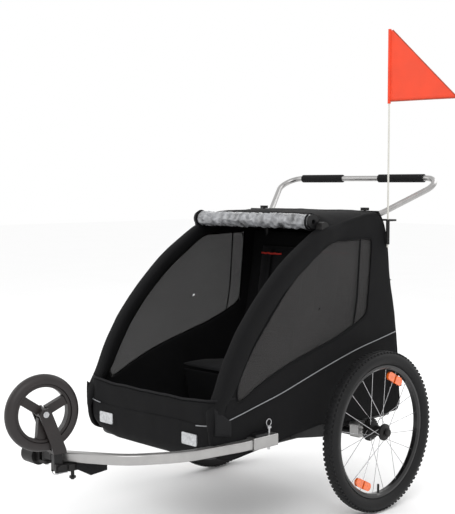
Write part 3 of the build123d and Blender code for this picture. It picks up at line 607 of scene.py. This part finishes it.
lb = cushion("left_seat_pad", 6, 206, [(-14, 426), (42, 608), (76, 800)], 18, "seat", channels=(0.2, 0.38, 0.56, 0.74))
rb = cushion("right_seat_pad", -206, -6, [(-14, 426), (42, 608), (76, 800)], 18, "seat", channels=(0.2, 0.38, 0.56, 0.74))
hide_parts("seat_backs")
bench = cushion("seat_bench_pad", -225, 225, [(-288, 424), (-200, 424), (-46, 408)], 22, "seat", channels=(0.5,), crown=6)
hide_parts("seat_bench")
rows = []
for i in range(21):
    t = i / 20
    rows.append([V(-225 + 450 * j / 60, -286 + 33 * t + 3 * wob(j * 8, 0, t * 100, 1, 40), 410 - 128 * t) for j in range(61)])
cloth(grid_mesh("seat_skirt_cloth", rows, "lining", thick=0.0016), flat=(0.46, 0.14))
# lining sheet behind the seat pads, up to the top bar
rows = []
for i in range(31):
    t = i / 30
    z = 425 + 425 * t
    y = 2 + 88 * t + 12 * math.sin(math.pi * t)
    rows.append([V(-262 + 524 * j / 60, y + 2 * wob(j * 9, 0, z, 1, 50), z) for j in range(61)])
cloth(grid_mesh("seat_lining", rows, "lining", thick=0.0014), flat=(0.54, 0.46))
# harness: shoulder straps, buckles; red tape across the tops of the backs
first = None
for k, x in enumerate((60, 152, -60, -152)):
    rows = []
    for i in range(40):
        t = i / 39
        if t < 0.55:
            q = t / 0.55
            y, z = 63 - 36 * q, 790 - 185 * q
        else:
            q = (t - 0.55) / 0.45
            y, z = 27 - 64 * q - 22 * math.sin(math.pi * q), 605 - 160 * q
        xx = x + (1 if x > 0 else -1) * (0 if t < 0.55 else 0) + (106 - abs(x)) * (1 if x > 0 else -1) * (max(0, t - 0.3) / 0.7) ** 1.6 * 0.72
        rows.append([V(xx - 12 + 24 * j / 4, y - 12 + 0.8 * math.sin(j + t * 9), z) for j in range(5)])
    st = grid_mesh("shoulder_strap_%d" % (k + 1), rows, "web", thick=0.0016)
    if first is None:
        first = st
        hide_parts("harness")
    cloth(st, flat=(0.026, 0.40))
for k, x in enumerate((106, -106)):
    bm = bmesh.new()
    bmesh.ops.create_cube(bm, size=1)
    for v in bm.verts:
        v.co = V(x + v.co.x * 44, -48 + v.co.y * 12 + v.co.z * 4, 470 + v.co.z * 52)
    bmesh.ops.bevel(bm, geom=bm.edges[:], offset=0.004, segments=3, affect="EDGES")
    me = bpy.data.meshes.new("harness_buckle_%d" % (k + 1))
    bm.to_mesh(me)
    bm.free()
    o = link(bpy.data.objects.new(me.name, me))
    o.data.materials.append(M["plastic"])
    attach(o, "base")
    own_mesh(o)
for k, (xa, xb, z) in enumerate(((-193, -99, 776), (67, 197, 792))):
    rows = []
    for i in range(3):
        rows.append([V(xa + (xb - xa) * j / 20, 53 - 10 * math.sin(math.pi * j / 20) * 0.6, z + 3 - i * 3 + 0.8 * math.sin(j)) for j in range(21)])
    cloth(grid_mesh("red_tape_%d" % (k + 1), rows, "red", thick=0.0012), flat=(abs(xb - xa) / 1000 + 0.01, 0.012))

# ---------------------------------------------------------------- rolled rain cover
rows = []
NU = 150
for i in range(NU + 1):
    x = -242 + 484 * i / NU
    row = []
    endf = min(1, min(i, NU - i) / 3)
    for j in range(64):
        f = j / 64 * 2 * math.pi
        r = 22.6 * (0.72 + 0.28 * endf)
        ct, st_ = math.cos(f), math.sin(f)
        n1 = noise.noise(Vector((x / 26, ct * 1.2, st_ * 1.2)))
        n2 = noise.noise(Vector((x / 9 + 5, ct * 2.6, st_ * 2.6)))
        n3 = noise.noise(Vector((x / 60 + 9, f * 0.9, 3.3)))
        fold_ = 1 - abs(n1)
        r += 3.4 * (fold_ ** 3 - 0.5) + 2.0 * n2 + 2.4 * n3
        r = min(r, 27.0)
        row.append(V(x, -190 + r * ct, 901 + r * st_))
    rows.append(row)
roll = grid_mesh("rolled_rain_cover", rows, "film", close_u=True, thick=0)
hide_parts("rolled_cover")
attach(roll, "roof_frame")
for k, x in enumerate((-241, 241)):
    tube_piece("roll_tie_%d" % (k + 1), [V(x, -190 + 25.5 * math.cos(a * math.pi / 8), 901 + 25.5 * math.sin(a * math.pi / 8)) for a in range(16)], 0.003, "web", "roof_frame", cyclic=True)

# ---------------------------------------------------------------- hoop sleeves, inside the padded band
hoop = [(-596, 352), (-612, 392), (-553, 522), (-440, 668), (-300, 794), (-200, 850.8)]
rowsets = []
cl = smooth(resample([(y, z, 0) for y, z in hoop], 70, closed=False), 6, closed=False)
first = None
for s in (1, -1):
    rows = []
    for i, p in enumerate(cl):
        a, b = cl[max(0, i - 1)], cl[min(len(cl) - 1, i + 1)]
        tg = (b - a).normalized()
        nr = Vector((-tg.y, tg.x, 0))
        row = []
        for j in range(24):
            f = j / 24 * 2 * math.pi
            rr = 12.9 + 0.5 * wob(j * 20, p.x, p.y, 3, 60)
            q = p + nr * rr * math.cos(f) * 1.05
            row.append(V(s * (267.5 + min(12.6, rr) * math.sin(f)), q.x, q.y))
        rows.append(row)
    o = grid_mesh("hoop_sleeve_%s" % ("left" if s == 1 else "right"), rows, "lining", close_u=True, thick=0.0006)
    if first is None:
        first = o
        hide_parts("hoop_sleeves")
    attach(o, "hoops")

# ---------------------------------------------------------------- flag
rows = []
for i in range(25):
    t = i / 24
    row = []
    for j in range(41):
        u = j / 40
        x_end = 12 + (252 - 12) * t
        x = -3 + (x_end + 3) * u
        z = 1498 - 222 * t - 3 * u * t
        y = 129.8 + 3.2 * math.sin(u * 5.5 + t * 1.5) * u * t
        row.append(V(290.5 + x, y, z))
    rows.append(row)
pennant = grid_mesh("pennant", rows, "flag", thick=0.0008)
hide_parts("flag")
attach(pennant, "flag_unit")
edge1 = [V(290.5 + 12 + 240 * t, 129.8 + 3.2 * math.sin(5.5 + t * 1.5) * t, 1498 - 225 * t) for t in [k / 12 for k in range(13)]]
tube_piece("pennant_edge", edge1, 0.0018, "hem", "flag_unit")
edge2 = [V(290.5 + (-3 + 255 * u), 129.8 + 3.2 * math.sin(u * 5.5 + 1.5) * u, 1276 - 3 * u) for u in [k / 12 for k in range(13)]]
tube_piece("pennant_lower_edge", edge2, 0.0018, "hem", "flag_unit")
tube_piece("pennant_sleeve", [V(290.5, 129.8, 1269), V(290.5, 129.8, 1387), V(290.5, 129.8, 1502)], 0.0052, "flag", "flag_unit", sides=12)

# ---------------------------------------------------------------- tyre tread and valve
for s, side_name in ((1, "left"), (-1, "right")):
    bm = bmesh.new()
    for k in range(96):
        a = 2 * math.pi * k / 96
        for row_i, (dx, half, rr) in enumerate(((-14, 4.2, 246.6), (-5, 3.6, 249.4), (5, 3.6, 249.4), (14, 4.2, 246.6))):
            aa = a + (math.pi / 96 if row_i % 2 else 0)
            vs = []
            for dr in (-2.5, 0.9):
                for du, dv in ((-1, -1), (1, -1), (1, 1), (-1, 1)):
                    r = rr + dr
                    ang = aa + dv * 4.4 / 250
                    vs.append(bm.verts.new(V(s * 361 + dx + du * half, r * math.cos(ang), 250 + r * math.sin(ang))))
            for f in ((0, 1, 2, 3), (7, 6, 5, 4), (0, 4, 5, 1), (1, 5, 6, 2), (2, 6, 7, 3), (3, 7, 4, 0)):
                bm.faces.new([vs[q] for q in f])
    bmesh.ops.recalc_face_normals(bm, faces=bm.faces[:])
    me = bpy.data.meshes.new(side_name + "_tread_blocks")
    bm.to_mesh(me)
    bm.free()
    o = link(bpy.data.objects.new(me.name, me))
    o.data.materials.append(M["tyre"])
    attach(o, side_name + "_wheel")
    tube_piece(side_name + "_valve", [V(s * 361, 0, 250 - 194), V(s * 361, 0, 250 - 168)], 0.0036, "plastic", side_name + "_wheel")
    for f_, rr in enumerate((233, 222)):
        pass

# small steel clip and cord by the hitch pins
tube_piece("saddle_clip", [V(96, -985, 262), V(82, -996, 258), (V(60, -1001, 250)), V(40, -996, 252), V(36, -984, 262), V(44, -976, 266)], 0.0013, "steel", "base")
tube_piece("hanging_cord", [V(44, -932, 257), V(47, -934, 266), V(52, -938, 272)], 0.0012, "lining", "base")

# ---------------------------------------------------------------- floor
bpy.ops.mesh.primitive_plane_add(size=40, location=(0, 0, -0.0035))
fl = bpy.context.object
fl.name = "studio_floor"
fl.data.materials.append(M["floor"])
